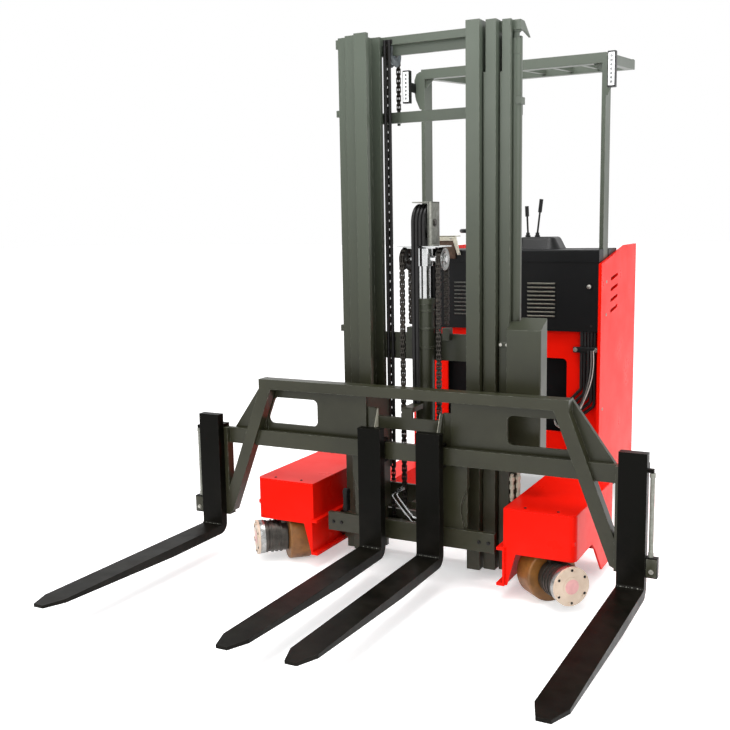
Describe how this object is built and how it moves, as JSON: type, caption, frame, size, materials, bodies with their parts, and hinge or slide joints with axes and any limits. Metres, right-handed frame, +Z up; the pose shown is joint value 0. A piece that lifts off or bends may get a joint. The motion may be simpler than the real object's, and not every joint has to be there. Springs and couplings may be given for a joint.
{
  "type": "multidirectional stand-on reach truck",
  "caption": "Multidirectional stand-on reach truck with a three-stage mast, a wide fork frame and four forks.",
  "frame": {"origin": "on the floor under the middle of the truck's length and width", "axes": "+Z up, +Y to the operator's end, -Y to the fork tips, +X to the right seen from the forks' end"},
  "size_m": [2.102, 3.11, 2.364],
  "materials": {
    "red_paint": "satin",
    "mast_paint": "satin",
    "fork_black": "satin",
    "panel_black": "matte",
    "tread_polyurethane": "satin",
    "bare_steel": "satin",
    "rod_chrome": "polished",
    "chain_steel": "oiled",
    "hose_rubber": "matte",
    "pad_rubber": "matte",
    "console_plastic": "matte",
    "battery_case": "matte",
    "plate_beige": "satin"
  },
  "bodies": {
    "chassis": {"leg_left": "red_paint", "leg_right": "red_paint", "leg_covers": "red_paint", "body_base": "panel_black", "side_panel_left": "red_paint", "side_panel_right": "red_paint", "front_panel_upper": "panel_black", "front_panel_lower": "red_paint", "top_cover": "panel_black", "console": "console_plastic", "control_levers": "console_plastic", "cab_walls": "panel_black", "operator_pads": "pad_rubber", "battery": "battery_case", "overhead_guard": "mast_paint", "work_lamps": "console_plastic", "body_hoses": "hose_rubber"},
    "mast_carrier": {"mast_outer": "mast_paint", "side_lift_barrels": "mast_paint", "mast_side_box": "mast_paint", "reach_frame": "mast_paint", "reach_rollers": "bare_steel", "mast_chain_rear_runs": "chain_steel"},
    "mid_stage": {"mast_mid": "mast_paint", "mast_sheaves": "bare_steel", "mast_chain_front_runs": "chain_steel"},
    "inner_stage": {"mast_inner": "mast_paint", "free_lift_barrel": "mast_paint", "mast_hoses": "hose_rubber", "chain_rear_runs": "chain_steel", "hose_rear_runs": "hose_rubber"},
    "crosshead": {"free_lift_head": "rod_chrome", "lift_sheaves": "chain_steel", "hose_pulley": "mast_paint", "hose_bights": "hose_rubber", "chain_front_runs": "chain_steel", "hose_front_runs": "hose_rubber"},
    "fork_carriage": {"carriage": "mast_paint", "carriage_rollers": "bare_steel", "fork_frame": "mast_paint", "fork_outer_left": "fork_black", "fork_outer_right": "fork_black", "carriage_pipes": "rod_chrome"},
    "inner_fork_left": {"fork_inner_left": "fork_black"},
    "inner_fork_right": {"fork_inner_right": "fork_black"},
    "wheel_unit_left": {"wheel_carrier_left": "bare_steel", "hub_plate_left": "plate_beige"},
    "wheel_unit_right": {"wheel_carrier_right": "bare_steel", "hub_plate_right": "plate_beige"},
    "roller_left": {"load_wheel_left": "tread_polyurethane"},
    "roller_right": {"load_wheel_right": "tread_polyurethane"},
    "drive_bogie": {"drive_unit": "bare_steel"},
    "drive_roller": {"drive_wheel": "tread_polyurethane"},
    "helm": {"steering_wheel": "console_plastic"}
  },
  "joints": [
    {"name": "reach", "type": "slide", "parent": "chassis", "child": "mast_carrier", "axis": [0, 1, 0], "range_m": [0, 0.56]},
    {"name": "mid_lift", "type": "slide", "parent": "mast_carrier", "child": "mid_stage", "axis": [0, 0, 1], "range_m": [0, 1.45], "deforming": ["mast_chain_rear_runs"]},
    {"name": "inner_lift", "type": "slide", "parent": "mid_stage", "child": "inner_stage", "axis": [0, 0, 1], "range_m": [0, 1.45], "deforming": ["mast_chain_front_runs"]},
    {"name": "free_lift", "type": "slide", "parent": "inner_stage", "child": "crosshead", "axis": [0, 0, 1], "range_m": [0, 0.56], "deforming": ["chain_rear_runs", "hose_rear_runs"]},
    {"name": "carriage_lift", "type": "slide", "parent": "crosshead", "child": "fork_carriage", "axis": [0, 0, 1], "range_m": [0, 0.56], "deforming": ["chain_front_runs", "hose_front_runs"]},
    {"name": "fork_left_shift", "type": "slide", "parent": "fork_carriage", "child": "inner_fork_left", "axis": [1, 0, 0], "range_m": [-0.198, 0.076]},
    {"name": "fork_right_shift", "type": "slide", "parent": "fork_carriage", "child": "inner_fork_right", "axis": [1, 0, 0], "range_m": [-0.076, 0.198]},
    {"name": "wheel_steer_left", "type": "hinge", "parent": "chassis", "child": "wheel_unit_left", "pos_m": [-0.588, -0.335, 0.25], "axis": [0, 0, 1], "range_deg": [-42, 48]},
    {"name": "wheel_steer_right", "type": "hinge", "parent": "chassis", "child": "wheel_unit_right", "pos_m": [0.588, -0.335, 0.25], "axis": [0, 0, 1], "range_deg": [-48, 42]},
    {"name": "load_wheel_left_spin", "type": "hinge", "parent": "wheel_unit_left", "child": "roller_left", "pos_m": [-0.588, -0.335, 0.11], "axis": [-0.7431, -0.6691, 0], "continuous": true},
    {"name": "load_wheel_right_spin", "type": "hinge", "parent": "wheel_unit_right", "child": "roller_right", "pos_m": [0.588, -0.335, 0.11], "axis": [0.7431, -0.6691, 0], "continuous": true},
    {"name": "drive_steer", "type": "hinge", "parent": "chassis", "child": "drive_bogie", "pos_m": [-0.25, 1.34, 0.33], "axis": [0, 0, 1], "range_deg": [-90, 90]},
    {"name": "drive_spin", "type": "hinge", "parent": "drive_bogie", "child": "drive_roller", "pos_m": [-0.25, 1.34, 0.15], "axis": [1, 0, 0], "continuous": true},
    {"name": "steering", "type": "hinge", "parent": "chassis", "child": "helm", "pos_m": [-0.235, 1.075, 1.464], "axis": [0, 0, 1], "range_deg": [-180, 180]}
  ],
  "couplings": [
    {"joint": "inner_lift", "follows": "mid_lift", "ratio": 1},
    {"joint": "carriage_lift", "follows": "free_lift", "ratio": 1},
    {"joint": "drive_steer", "follows": "steering", "ratio": 0.5}
  ]
}
